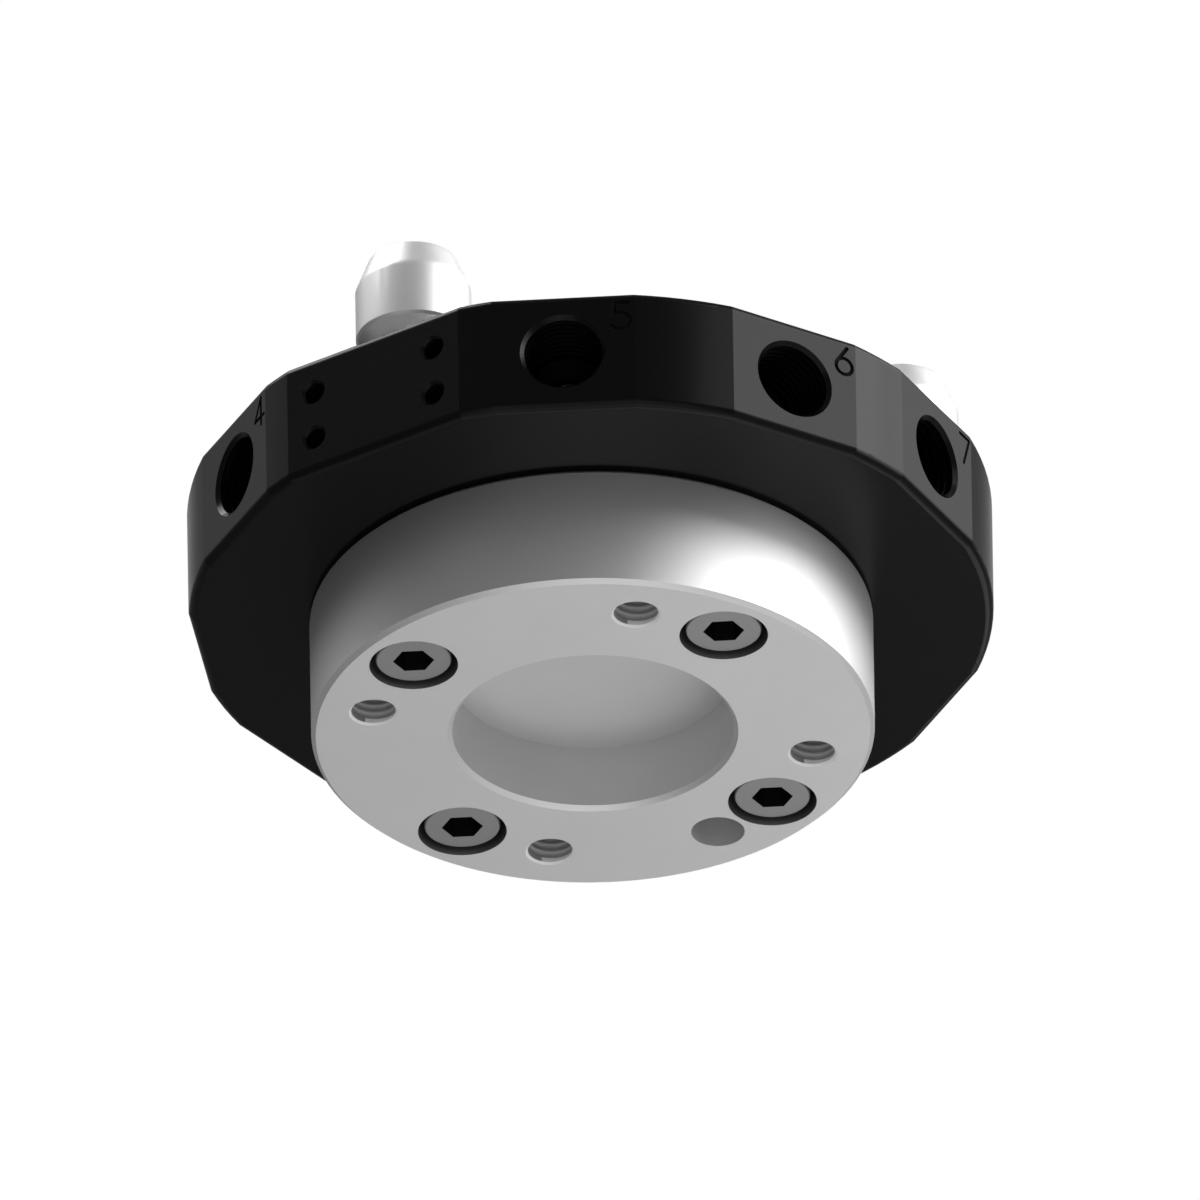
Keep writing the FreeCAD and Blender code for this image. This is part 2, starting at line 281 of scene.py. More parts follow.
join(tree,
     (coordinates.outputs["Object"], from_middle.inputs[0]),
     (from_middle.outputs["Value"], fade.inputs["Value"]),
     (fade.outputs[0], upper.inputs[0]),
     (matt.outputs[0], upper.inputs[1]),
     (white.outputs[0], upper.inputs[2]),
     (side.outputs["Backfacing"], either.inputs[0]),
     (upper.outputs[0], either.inputs[1]),
     (clear.outputs[0], either.inputs[2]),
     (either.outputs[0], result.inputs["Surface"]))
floor_mesh.materials.append(pale)
print("floor finish:", len(tree.nodes), "nodes")

# %% [markdown]
# Shared surface effects. A metal surface is never one even colour: blasting leaves a fine grain, a lathe
# leaves rings, hands leave a faint cloudiness, and edges rub bright first. Each effect is a node group
# with its own sizes as inputs, built once here, and every material below mixes them with its own values.

# %% Helper for groups
def group(name, inputs, outputs):
    """Starts a shader node group. inputs are (name, kind, value) and outputs are (name, kind)."""
    made = bpy.data.node_groups.new(name, "ShaderNodeTree")
    for title, kind, value in inputs:
        socket = made.interface.new_socket(name=title, in_out="INPUT", socket_type="NodeSocket" + kind)
        if value is not None:
            socket.default_value = value
    for title, kind in outputs:
        made.interface.new_socket(name=title, in_out="OUTPUT", socket_type="NodeSocket" + kind)
    return made, node(made, "NodeGroupInput"), node(made, "NodeGroupOutput")


# %% [markdown]
# Grain: a three-dimensional noise, because it has no seams on any shape. Size is the width of a grain, so
# the noise's Scale is one divided by it.

# %% Grain
grain_inputs = [("Vector", "Vector", None), ("Size", "Float", 200 * MICRON), ("Detail", "Float", 2.0)]
grain, given, out = group("grain", grain_inputs, [("Value", "Float")])
scale = node(grain, "ShaderNodeMath", operation="DIVIDE")
scale.inputs[0].default_value = 1.0
noise = node(grain, "ShaderNodeTexNoise", Roughness=0.6)
join(grain,
     (given.outputs["Size"], scale.inputs[1]),
     (given.outputs["Vector"], noise.inputs["Vector"]),
     (given.outputs["Detail"], noise.inputs["Detail"]),
     (scale.outputs[0], noise.inputs["Scale"]),
     (noise.outputs["Fac"], out.inputs["Value"]))
print("group", grain.name, "has", len(grain.nodes), "nodes")

# %% [markdown]
# Turning marks: a lathe tool leaves rings round the axis. On a flat face they follow the radius, and on a
# wall they follow the height, so a noise that reads only radius and height gives both at once.

# %% Turning marks
ring_inputs = [("Vector", "Vector", None), ("Pitch", "Float", 200 * MICRON)]
turned, given, out = group("turning_marks", ring_inputs, [("Value", "Float")])
apart = node(turned, "ShaderNodeSeparateXYZ")
level_part = node(turned, "ShaderNodeCombineXYZ")
radius = node(turned, "ShaderNodeVectorMath", operation="LENGTH")
radius_and_height = node(turned, "ShaderNodeCombineXYZ")
fine = node(turned, "ShaderNodeVectorMath", operation="SCALE")
inverse = node(turned, "ShaderNodeMath", operation="DIVIDE")
inverse.inputs[0].default_value = 1.0
rings = node(turned, "ShaderNodeTexNoise", Scale=1.0, Detail=3.0, Roughness=0.65)
join(turned,
     (given.outputs["Vector"], apart.inputs[0]),
     (apart.outputs["X"], level_part.inputs["X"]),
     (apart.outputs["Y"], level_part.inputs["Y"]),
     (level_part.outputs[0], radius.inputs[0]),
     (radius.outputs["Value"], radius_and_height.inputs["X"]),
     (apart.outputs["Z"], radius_and_height.inputs["Y"]),
     (radius_and_height.outputs[0], fine.inputs[0]),
     (given.outputs["Pitch"], inverse.inputs[1]),
     (inverse.outputs[0], fine.inputs["Scale"]),
     (fine.outputs[0], rings.inputs["Vector"]),
     (rings.outputs["Fac"], out.inputs["Value"]))
print("group", turned.name, "has", len(turned.nodes), "nodes")

# %% [markdown]
# Edge wear: the Bevel node bends the normal only near an edge, so the angle between that normal and the
# true one is a mask of edges. The cosine of that angle is 1 on a flat and drops at an edge. A little grain
# breaks the mask up, as rubbed edges are never even.

# %% Edge wear
WEAR_STARTS, WEAR_FULL = 0.995, 0.86
PATCHES_PER_METRE = 900.0
wear_inputs = [("Vector", "Vector", None), ("Radius", "Float", 200 * MICRON), ("Amount", "Float", 0.5)]
worn, given, out = group("edge_wear", wear_inputs, [("Mask", "Float")])
bent = node(worn, "ShaderNodeBevel", samples=4)
true = node(worn, "ShaderNodeNewGeometry")
cosine = node(worn, "ShaderNodeVectorMath", operation="DOT_PRODUCT")
edge = node(worn, "ShaderNodeMapRange", interpolation_type="SMOOTHSTEP",
            From_Min=WEAR_STARTS, From_Max=WEAR_FULL)
patch = node(worn, "ShaderNodeTexNoise", Scale=PATCHES_PER_METRE, Detail=3.0)
broken = node(worn, "ShaderNodeMath", operation="MULTIPLY")
amount = node(worn, "ShaderNodeMath", operation="MULTIPLY")
join(worn,
     (given.outputs["Radius"], bent.inputs["Radius"]),
     (bent.outputs[0], cosine.inputs[0]),
     (true.outputs["Normal"], cosine.inputs[1]),
     (cosine.outputs["Value"], edge.inputs["Value"]),
     (given.outputs["Vector"], patch.inputs["Vector"]),
     (edge.outputs[0], broken.inputs[0]),
     (patch.outputs["Fac"], broken.inputs[1]),
     (broken.outputs[0], amount.inputs[0]),
     (given.outputs["Amount"], amount.inputs[1]),
     (amount.outputs[0], out.inputs["Mask"]))
print("group", worn.name, "has", len(worn.nodes), "nodes")

# %% [markdown]
# A finish puts the three effects round one Principled shader. Colour moves a little with the cloudiness,
# roughness moves with the grain and drops on rubbed edges, and the rings or the grain are the relief.

# %% Finish
CLOUD_SIZE = 12 * MM
WEAR_RADIUS = 250 * MICRON
ROUGH_SHARE = 0.35
EDGE_POLISH = -0.15


def use(tree, effect, **values):
    """Places a shared effect in a material."""
    made = node(tree, "ShaderNodeGroup", node_tree=effect)
    for title, value in values.items():
        made.inputs[title].default_value = value
    return made


def ramp(tree, low, high):
    """Turns a mask from 0 to 1 into a value from low to high."""
    return node(tree, "ShaderNodeMapRange", To_Min=low, To_Max=high)


def finish(name, colour, metallic=1.0, rough=0.5, spread=0.04, grain_size=150 * MICRON, relief=0.4 * MICRON,
           rings=None, worn_colour=None, worn_amount=0.4, centre=(0, 0, 0), specular=0.5):
    """Material from the shared effects. spread is how far colour and roughness vary, and rings is the pitch
    of the turning marks round centre, where there are any."""
    made = bpy.data.materials.new(name)
    made.use_nodes = True
    tree = made.node_tree
    tree.nodes.clear()
    coordinates = node(tree, "ShaderNodeTexCoord")
    move = node(tree, "ShaderNodeMapping")
    move.inputs["Location"].default_value = [-v for v in centre]
    cloud = use(tree, grain, Size=CLOUD_SIZE, Detail=3.0)
    speck = use(tree, grain, Size=grain_size, Detail=2.0)
    marks = use(tree, turned, Pitch=rings) if rings else speck
    edge = use(tree, worn, Radius=WEAR_RADIUS, Amount=worn_amount)
    tone = ramp(tree, 1 - spread, 1 + spread)
    rough_speck = ramp(tree, rough - spread * ROUGH_SHARE, rough + spread * ROUGH_SHARE)
    shade = node(tree, "ShaderNodeMix", data_type="RGBA", blend_type="MULTIPLY")
    shade.inputs[MIX_FACTOR].default_value = 1.0
    shade.inputs[MIX_COLOUR_A].default_value = (*colour, 1)
    rub = node(tree, "ShaderNodeMix", data_type="RGBA")
    rub.inputs[MIX_COLOUR_B].default_value = (*(worn_colour or colour), 1)
    polish = node(tree, "ShaderNodeMath", operation="MULTIPLY_ADD")
    polish.inputs[1].default_value = EDGE_POLISH
    bump = node(tree, "ShaderNodeBump", Strength=1.0, Distance=relief)
    skin = node(tree, "ShaderNodeBsdfPrincipled", Metallic=metallic)
    skin.inputs["Specular IOR Level"].default_value = specular
    end = node(tree, "ShaderNodeOutputMaterial")
    join(tree,
         (coordinates.outputs["Object"], move.inputs["Vector"]),
         (cloud.outputs["Value"], tone.inputs["Value"]),
         (tone.outputs[0], shade.inputs[MIX_COLOUR_B]),
         (shade.outputs[MIX_COLOUR_OUT], rub.inputs[MIX_COLOUR_A]),
         (edge.outputs["Mask"], rub.inputs[MIX_FACTOR]),
         (rub.outputs[MIX_COLOUR_OUT], skin.inputs["Base Color"]),
         (marks.outputs["Value"], rough_speck.inputs["Value"]),
         (edge.outputs["Mask"], polish.inputs[0]),
         (rough_speck.outputs[0], polish.inputs[2]),
         (polish.outputs[0], skin.inputs["Roughness"]),
         (marks.outputs["Value"], bump.inputs["Height"]),
         (bump.outputs[0], skin.inputs["Normal"]),
         (skin.outputs[0], end.inputs["Surface"]))
    for effect in (cloud, speck, marks, edge):
        join(tree, (move.outputs[0], effect.inputs["Vector"]))
    print("finish", name, "roughness about", rough)
    return made


# %% [markdown]
# The finishes. Black anodising is a dyed layer of oxide on the aluminium, so it isn't metallic and mirrors
# little, and its edges are painted paler, partly as rubbed wear and partly as a painted edge highlight. The
# flange is bare turned aluminium. The walls of its holes get toned copies of the finishes, which are painted
# light and shade: paler at the mouths of the M6 holes, duller and more evenly lit in the recess and the dowel
# hole, darker in the threads, the counterbores, the ports and the screw sockets. The screws are dark steel,
# and the pins and studs are ground bright.

# %% Finishes of the plate
FINE_GRAIN = 120 * MICRON
# Its paler edge colour is partly rubbed wear and partly a painted highlight along the edges.
anodised = finish("black_anodised", (0.002, 0.002, 0.0021), metallic=0.0, rough=0.24, spread=0.08,
                  grain_size=FINE_GRAIN, relief=0.6 * MICRON, worn_colour=(0.02, 0.02, 0.0205), specular=0.15)
# Painted shade: the walls and threads of the ports and M3 holes are nearly black and mirror very little.
port_painted_shade = finish("port_thread_painted_shade", (0.001, 0.001, 0.00105), metallic=0.0, spread=0.05,
               grain_size=FINE_GRAIN, relief=0.6 * MICRON, specular=0.04)
paint = finish("engraved_black", (0.003, 0.003, 0.003), metallic=0.0, rough=0.8, spread=0.1,
               grain_size=100 * MICRON, relief=1.0 * MICRON, specular=0.1)

# %% Finishes of the flange
TURNED_PITCH = 220 * MICRON
aluminium = finish("turned_aluminium", (0.77, 0.77, 0.775), rings=TURNED_PITCH,
                   worn_colour=(0.82, 0.82, 0.825), worn_amount=0.3)
# Painted light: a duller, partly diffuse copy of the aluminium, so the recess and the dowel hole are lit more
# evenly than their shade allows.
recess_painted_light = finish("recess_aluminium_painted_light", (0.64, 0.64, 0.645), metallic=0.5, rings=TURNED_PITCH)
# Painted light: a pale, matte copy of the aluminium for the plain stretch at the mouths of the M6 holes.
mouth_painted_light = finish("mouth_aluminium_painted_light", (0.88, 0.88, 0.885), metallic=0.1, rough=0.6)
# Painted shade: a darker, matte copy of the aluminium for the faces that the M6 tap cuts.
m6_thread_painted_shade = finish("m6_thread_aluminium_painted_shade", (0.5, 0.5, 0.505), metallic=0.1, rough=0.6)
# Painted shade: the counterbore walls round the screw heads are painted dark.
counterbore_painted_shade = finish("counterbore_aluminium_painted_shade", (0.25, 0.25, 0.252), spread=0.05)

# %% Finishes of the small pieces
GROUND_PITCH = 160 * MICRON
oxide = finish("screw_steel", (0.43, 0.43, 0.434), rough=0.4, spread=0.08,
               grain_size=FINE_GRAIN, relief=0.8 * MICRON)
# Painted shade: the hex sockets of the screw heads are painted near black.
socket_painted_shade = finish("socket_steel_painted_shade", (0.06, 0.06, 0.061), rough=0.4, spread=0.05,
                     grain_size=FINE_GRAIN, relief=0.6 * MICRON)
pin_steel = finish("pin_steel", (0.6, 0.6, 0.61), rough=0.25, relief=1.0 * MICRON, rings=GROUND_PITCH)
rubber = finish("seal_rubber", (0.02, 0.02, 0.02), metallic=0.0, rough=0.6, spread=0.15,
                grain_size=100 * MICRON, relief=3.0 * MICRON)


def ground_steel(name, centre=(0, 0, 0)):
    """Finish of the locking studs, whose turning marks run round a centre."""
    return finish(name, (0.87, 0.87, 0.875), metallic=0.68, rough=0.45, spread=0.03, relief=0.5 * MICRON,
                  rings=GROUND_PITCH, centre=centre)


steel = ground_steel("hardened_steel")

# %% Finishes on the pieces
FINISHES = {
    "tool_plate": anodised,
    "adapter_flange": aluminium,
    "flange_screw": oxide,
    "locating_pin": pin_steel,
    "locking_stud": steel,
    "air_seal": rubber,
}
for name, piece in NODES.items():
    for start, material in FINISHES.items():
        if name.startswith(start):
            piece.material_slots[0].material = material
print("finished", len(NODES), "pieces")

# %% [markdown]
# Threads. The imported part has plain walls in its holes, at the core of the thread. A real thread is one
# groove that climbs round the wall. It could be drawn as a wave on a fine grid, but the crests would
# come out jagged, because they don't run along the grid. Here one pitch of the profile is spun up a
# helix instead: the top of each turn lands on the bottom of the next, the doubles are welded, and the
# crests are clean lines with very few faces. The same shape cuts a nut's thread or makes a screw's.

# %% Thread shape
THREAD_STEPS = 40
FLANK = math.tan(math.radians(30))


def thread(low, high, pitch, start, end, fade=0.5, flat=1 / 16):
    """Closed solid along +Z with a helical ridge from radius low to radius high, faded at both ends. fade is
    how many turns that takes, and flat is half the width of the crest as a share of the pitch."""
    made = bmesh.new()
    tip = pitch * flat
    foot = tip + (high - low) * FLANK
    profile = [(low, -foot), (high, -tip), (high, tip), (low, foot), (low, pitch - foot)]
    chain = [made.verts.new((r, 0, start + foot + z)) for r, z in profile]
    edges = [made.edges.new(pair) for pair in zip(chain, chain[1:])]
    turns = (end - start - pitch) / pitch
    steps = round(turns * THREAD_STEPS)
    bmesh.ops.spin(made, geom=chain + edges, cent=(0, 0, 0), axis=(0, 0, 1),
                   angle=2 * math.pi * steps / THREAD_STEPS, steps=steps, dvec=(0, 0, pitch / THREAD_STEPS))
    for v in made.verts:
        r = math.hypot(v.co.x, v.co.y)
        if r > (low + high) / 2:
            turn = math.atan2(v.co.y, v.co.x) / (2 * math.pi)
            climbed = (v.co.z - start - foot) / pitch
            into = round(climbed - turn) + turn
            left = steps / THREAD_STEPS - into
            keep = max(0.0, min(1.0, into / fade, left / fade))
            scale = (low + (high - low) * keep) / r
            v.co.x *= scale
            v.co.y *= scale
    bmesh.ops.remove_doubles(made, verts=made.verts, dist=pitch / 1000)
    middle = (start + end) / 2
    for low_end in (True, False):
        rim = [e for e in made.edges if e.is_boundary and (e.verts[0].co.z < middle) == low_end]
        skirt = bmesh.ops.extrude_edge_only(made, edges=rim)["geom"]
        corners = [g for g in skirt if isinstance(g, bmesh.types.BMVert)]
        bmesh.ops.pointmerge(made, verts=corners, merge_co=(0, 0, start if low_end else end))
    bmesh.ops.recalc_face_normals(made, faces=made.faces)
    return made


# %% [markdown]
# Dressing a piece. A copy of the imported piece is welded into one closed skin, the tools are held against
# it as Boolean modifiers, and the result is taken once, so no modifier and no tool stays behind. The
# Manifold solver is fast and keeps a closed skin closed, but each tool has to be closed itself and must
# not cross itself. Weighted normals then keep the large flat faces flat beside small rounded edges.

# %% Helpers for shapes
WELD = 1e-7


def piece_from(name, made, material):
    """New object from a bmesh, with one finish."""
    mesh = bpy.data.meshes.new(name)
    made.to_mesh(mesh)
    made.free()
    old_normals = mesh.attributes.get("custom_normal")
    if old_normals:
        mesh.attributes.remove(old_normals)
    mesh.materials.append(material)
    piece = bpy.data.objects.new(name, mesh)
    scene.collection.objects.link(piece)
    return piece


def welded(name):
    """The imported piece's shape as a bmesh with its corners welded."""
    made = bmesh.new()
    made.from_mesh(NODES[name].data)
    bmesh.ops.remove_doubles(made, verts=made.verts, dist=WELD)
    return made


def axis_of(name):
    """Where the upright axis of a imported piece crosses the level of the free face."""
    low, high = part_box(name)
    return Vector(((low[0] + high[0]) / 2, (low[1] + high[1]) / 2, 0))


def aimed(place, axis):
    """Matrix that puts a tool's mouth at a place with its +Z running along an axis."""
    return Matrix.Translation(place) @ Vector(axis).to_track_quat("Z", "Y").to_matrix().to_4x4()


def gathered(name, shape, places, material):
    """One tool from copies of a shape at several places that don't touch."""
    mesh = bpy.data.meshes.new(name)
    shape.to_mesh(mesh)
    shape.free()
    made = bmesh.new()
    for matrix in places:
        before = len(made.verts)
        made.from_mesh(mesh)
        made.verts.ensure_lookup_table()
        bmesh.ops.transform(made, matrix=matrix, verts=made.verts[before:])
    bpy.data.meshes.remove(mesh)
    return piece_from(name, made, material)


# %% Helpers for dressing
SHARP = math.radians(32)


def carve(piece, *jobs):
    """Takes tools from a piece or joins them to it, and leaves a plain mesh."""
    for operation, tool in jobs:
        modifier = piece.modifiers.new(tool.name, "BOOLEAN")
        modifier.operation = operation
        modifier.solver = "MANIFOLD"
        modifier.object = tool
        modifier.material_mode = "TRANSFER"
    scene.view_layers[0].update()
    cut = bpy.data.meshes.new_from_object(piece.evaluated_get(bpy.context.evaluated_depsgraph_get()))
    piece.modifiers.clear()
    piece.data = cut
    for _, tool in jobs:
        bpy.data.objects.remove(tool)
    cut.shade_smooth()
    cut.set_sharp_from_angle(angle=SHARP)
    piece.modifiers.new("weighted_normals", "WEIGHTED_NORMAL").keep_sharp = True
    skin = bmesh.new()
    skin.from_mesh(cut)
    print(piece.name, len(cut.polygons), "faces,", sum(not e.is_manifold for e in skin.edges), "open edges")
    skin.free()
    return piece


def paint_light_in_hole(piece, mouth, inwards, radius, shallow, deep, material):
    """Paints light or shade into a hole's wall with a toned finish: the faces near its axis, between two depths
    from its mouth.
    """
    slots = piece.data.materials
    if material.name not in slots:
        slots.append(material)
    index = slots.find(material.name)
    for face in piece.data.polygons:
        reach = face.center - mouth
        depth = reach.dot(inwards)
        if shallow < depth < deep and (reach - inwards * depth).length < radius:
            face.material_index = index


def stands_for(piece, name):
    """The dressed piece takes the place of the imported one."""
    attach(piece, "root")
    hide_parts(name)


# %% [markdown]
# The adapter flange. The tool's four M6 screws go into its free face. The thread starts under a short plain
# stretch at the chamfered mouth, which is painted pale as painted light, and runs out before the drill's
# point, as a tap leaves it. The cut faces take their finish from the tool that cuts them: a darker, matte
# copy of the aluminium, which is painted shade. The recess and the dowel hole are painted duller and more
# evenly lit than the turned face, as painted light, and the counterbores round the screw heads are painted
# darkest, as painted shade. No tool cuts those here, so their faces are found by their place: near the
# hole's axis, between two depths.

# %% Threads of the flange
M6_CORE, M6_ROOT, M6_PITCH = 2.5 * MM, 3.0 * MM, 1.0 * MM
M6_START, M6_END = 0.27 * MM, 10.3 * MM
M6_TURN = math.radians(123.4)
M6_CREST = 1 / 8
TAP_FADE = 0.3
OVER_CORE = 0.02 * MM
UP = Vector((0, 0, 1))
pattern = MOUNTS["tool_threads"]["dims"]
half_x, half_y = pattern["spacing_x_mm"] / 2 * MM, pattern["spacing_y_mm"] / 2 * MM
m6_places = [Vector((x, y, 0)) for x in (-half_x, half_x) for y in (-half_y, half_y)]
m6_mouths = [aimed(place, UP) @ Matrix.Rotation(M6_TURN, 4, "Z") for place in m6_places]
m6_shape = thread(M6_CORE + OVER_CORE, M6_ROOT, M6_PITCH, M6_START, M6_END, TAP_FADE, M6_CREST)
m6_tap = gathered("m6_tap", m6_shape, m6_mouths, m6_thread_painted_shade)
flange = carve(piece_from("dressed_flange", welded("adapter_flange"), aluminium), ("DIFFERENCE", m6_tap))

# %% Painted light and shade in the holes of the flange
UNDER_FACE = 0.01 * MM
M6_LINED_R, M6_PLAIN = 2.8 * MM, 0.6 * MM
DOWEL_OUTSIDE = 0.3
COUNTERBORE_R, COUNTERBORE_DEEP = 5.0 * MM, 5.7 * MM
RECESS_R, RECESS_CHAMFER, RECESS_DEEP = 15.8 * MM, 0.5 * MM, 8.2 * MM
SCREWS = [f"flange_screw_{i}" for i in range(1, 5)]
for place in m6_places:
    paint_light_in_hole(flange, place, UP, M6_LINED_R, UNDER_FACE, M6_PLAIN, mouth_painted_light)
dowel = MOUNTS["tool_dowel_hole"]
dowel_r, dowel_deep = (dowel["dims"]["r_mm"] + DOWEL_OUTSIDE) * MM, dowel["dims"]["length_mm"] * MM
paint_light_in_hole(flange, Vector(dowel["pos_m"]), UP, dowel_r, UNDER_FACE, dowel_deep, recess_painted_light)
for name in SCREWS:
    paint_light_in_hole(flange, axis_of(name), UP, COUNTERBORE_R, UNDER_FACE, COUNTERBORE_DEEP, counterbore_painted_shade)
paint_light_in_hole(flange, Vector((0, 0, 0)), UP, RECESS_R, RECESS_CHAMFER, RECESS_DEEP, recess_painted_light)
stands_for(flange, "adapter_flange")
print("flange finishes:", [m.name for m in flange.data.materials])

# %% [markdown]
# The port numbers are engraved with a ball cutter in single lines, so each stroke is a round groove with
# round ends. A curve with a round bevel gives that tool without any outline to work out. Strokes of one
# figure cross each other, and a tool must not cross itself, so the first strokes of all the figures make
# one tool, the second strokes another, and the third strokes a last one.

# %% Figures as strokes
FIGURE_WIDTH, FIGURE_HEIGHT = 2.2, 3.5


def arc(x, y, r, first, last, count=18):
    """Points on an arc, in millimetres, from a first angle to a last one in degrees."""
    turns = [math.radians(first + (last - first) * i / count) for i in range(count + 1)]
    return [(x + r * math.cos(t), y + r * math.sin(t)) for t in turns]


FIGURES = {
    1: [[(0.45, 2.75), (1.25, 3.5)], [(1.25, 3.5), (1.25, 0)]],
    2: [arc(1.1, 2.45, 1.05, 165, -38) + [(0.1, 0)], [(0.1, 0), (2.15, 0)]],
    3: [arc(1.0, 2.62, 0.88, 150, -90), arc(1.0, 0.87, 0.87, 90, -150)],
    4: [[(1.5, 3.5), (0, 1.0)], [(0, 1.0), (2.2, 1.0)], [(1.5, 3.5), (1.5, 0)]],
    5: [[(2.0, 3.5), (0.45, 3.5)], [(0.45, 3.5), (0.34, 1.94)], arc(1.05, 1.1, 1.1, 130, -150)],
    6: [[(1.5, 3.5), (0.32, 1.75)], arc(1.1, 1.05, 1.05, 0, 360)],
    7: [[(0.05, 3.5), (2.15, 3.5)], [(2.15, 3.5), (0.85, 0)]],
    8: [arc(1.1, 0.98, 0.98, 0, 360), arc(1.1, 2.72, 0.78, 0, 360)],
}
print("figures:", {figure: len(strokes) for figure, strokes in FIGURES.items()})

# %% Engraving tools
STROKE_RADIUS = 0.25 * MM
STROKE_ROUNDNESS = 3
# How far out along the half ball at a stroke's end, and how wide it is there, as shares of its radius.
BALL_END = ((0.6, 0.8), (0.9, 0.43), (1.0, 0.05))


def with_round_ends(run):
    """Points and widths of an open run, with a half ball added at each end."""
    before = (run[0] - run[1]).normalized() * STROKE_RADIUS
    after = (run[-1] - run[-2]).normalized() * STROKE_RADIUS
    first = [(run[0] + before * reach, width) for reach, width in reversed(BALL_END)]
    last = [(run[-1] + after * reach, width) for reach, width in BALL_END]
    return first + [(point, 1.0) for point in run] + last


def stroke_tool(name, runs):
    """Closed tube tool along several runs of points."""
    data = bpy.data.curves.new(name, "CURVE")
    data.dimensions = "3D"
    data.use_fill_caps = True
    data.bevel_depth = STROKE_RADIUS
    data.bevel_resolution = STROKE_ROUNDNESS
    for run in runs:
        ring = (run[0] - run[-1]).length < WELD
        stations = [(point, 1.0) for point in run[:-1]] if ring else with_round_ends(run)
        spline = data.splines.new("POLY")
        spline.points.add(len(stations) - 1)
        spline.use_cyclic_u = ring
        for point, (co, width) in zip(spline.points, stations):
            point.co = (*co, 1)
            point.radius = width
    drawn = bpy.data.objects.new(name, data)
    scene.collection.objects.link(drawn)
    scene.view_layers[0].update()
    mesh = bpy.data.meshes.new_from_object(drawn.evaluated_get(bpy.context.evaluated_depsgraph_get()))
    bpy.data.objects.remove(drawn)
    made = bmesh.new()
    made.from_mesh(mesh)
    bmesh.ops.remove_doubles(made, verts=made.verts, dist=WELD)
    bmesh.ops.recalc_face_normals(made, faces=made.faces)
    return piece_from(name, made, paint)


# %% Figures beside the ports
FIGURE_ALONG, FIGURE_RAISED = 6.5, 4.4
# The record gives a port's place this far inside its flat, in millimetres.
PORT_STATED_INSIDE = 1.0
rounds = [[], [], []]
for figure, strokes in FIGURES.items():
    port = MOUNTS[f"port_{figure}"]
    outwards = Vector(port["axis"])
    along = UP.cross(outwards)
    to_corner = outwards * PORT_STATED_INSIDE + along * (FIGURE_ALONG - FIGURE_WIDTH / 2)
    corner = Vector(port["pos_m"]) + to_corner * MM
    corner.z += (FIGURE_RAISED - FIGURE_HEIGHT / 2) * MM
    for number, stroke in enumerate(strokes):
        rounds[number].append([corner + (along * x + UP * y) * MM for x, y in stroke])
gravers = [stroke_tool(f"graver_{number}", runs) for number, runs in enumerate(rounds)]
print("strokes in each round:", [len(runs) for runs in rounds])

# %% [markdown]
# The tool plate. Its eight ports take G1/8 fittings, and the module flat takes four M3 screws. Their
# threads start just under the chamfers. The walls and threads of these holes are painted near black with
# little reflection, as painted shade.

# %% Threads of the plate
G18_CORE, G18_ROOT, G18_PITCH = 4.4 * MM, 4.84 * MM, 0.907 * MM
G18_START, G18_END = 0.35 * MM, 8.2 * MM
M3_CORE, M3_ROOT, M3_PITCH = 1.25 * MM, 1.5 * MM, 0.5 * MM
M3_START, M3_END = 0.3 * MM, 6.6 * MM
INTO_FLAT = Vector((0, 1, 0))


def port_mouth(port):
    """Where a port's axis meets its flat, and the direction into the plate."""
    outwards = Vector(port["axis"])
    return Vector(port["pos_m"]) + outwards * PORT_STATED_INSIDE * MM, -outwards


ports = [MOUNTS[f"port_{figure}"] for figure in FIGURES]
port_mouths = [port_mouth(port) for port in ports]
g18_shape = thread(G18_CORE + OVER_CORE, G18_ROOT, G18_PITCH, G18_START, G18_END, TAP_FADE)
port_tap = gathered("g18_tap", g18_shape, [aimed(*mouth) for mouth in port_mouths], port_painted_shade)
module = MOUNTS["module_threads"]
middle = Vector(module["pos_m"])
across, up = module["dims"]["spacing_x_mm"] / 2 * MM, module["dims"]["spacing_y_mm"] / 2 * MM
m3_places = [middle + Vector((x, 0, z)) for x in (-across, across) for z in (-up, up)]
m3_shape = thread(M3_CORE + OVER_CORE, M3_ROOT, M3_PITCH, M3_START, M3_END, TAP_FADE)
m3_tap = gathered("m3_tap", m3_shape, [aimed(place, INTO_FLAT) for place in m3_places], port_painted_shade)
plate = carve(piece_from("dressed_plate", welded("tool_plate"), anodised), ("DIFFERENCE", port_tap),
              ("DIFFERENCE", m3_tap), *(("DIFFERENCE", graver) for graver in gravers))

# %% Painted shade in the holes of the plate
PORT_LINED_R, PORT_LINED_FROM, PORT_LINED_TO = 4.9 * MM, 0.44 * MM, 11.5 * MM
M3_LINED_TO = 10 * MM
for place, inwards in port_mouths:
    paint_light_in_hole(plate, place, inwards, PORT_LINED_R, PORT_LINED_FROM, PORT_LINED_TO, port_painted_shade)
for place in m3_places:
    paint_light_in_hole(plate, place, INTO_FLAT, M3_ROOT + OVER_CORE, M3_START, M3_LINED_TO, port_painted_shade)
print("plate finishes:", [m.name for m in plate.data.materials])

# %% [markdown]
# The creases of the rim. It has nine flats, and each meets the round in a crease of only ten to fifteen
# degrees, while the small rounding above it is drawn in steps of sixteen. No angle tells the two apart, so
# the creases are found by their place: straight up the rim at either side of a flat.

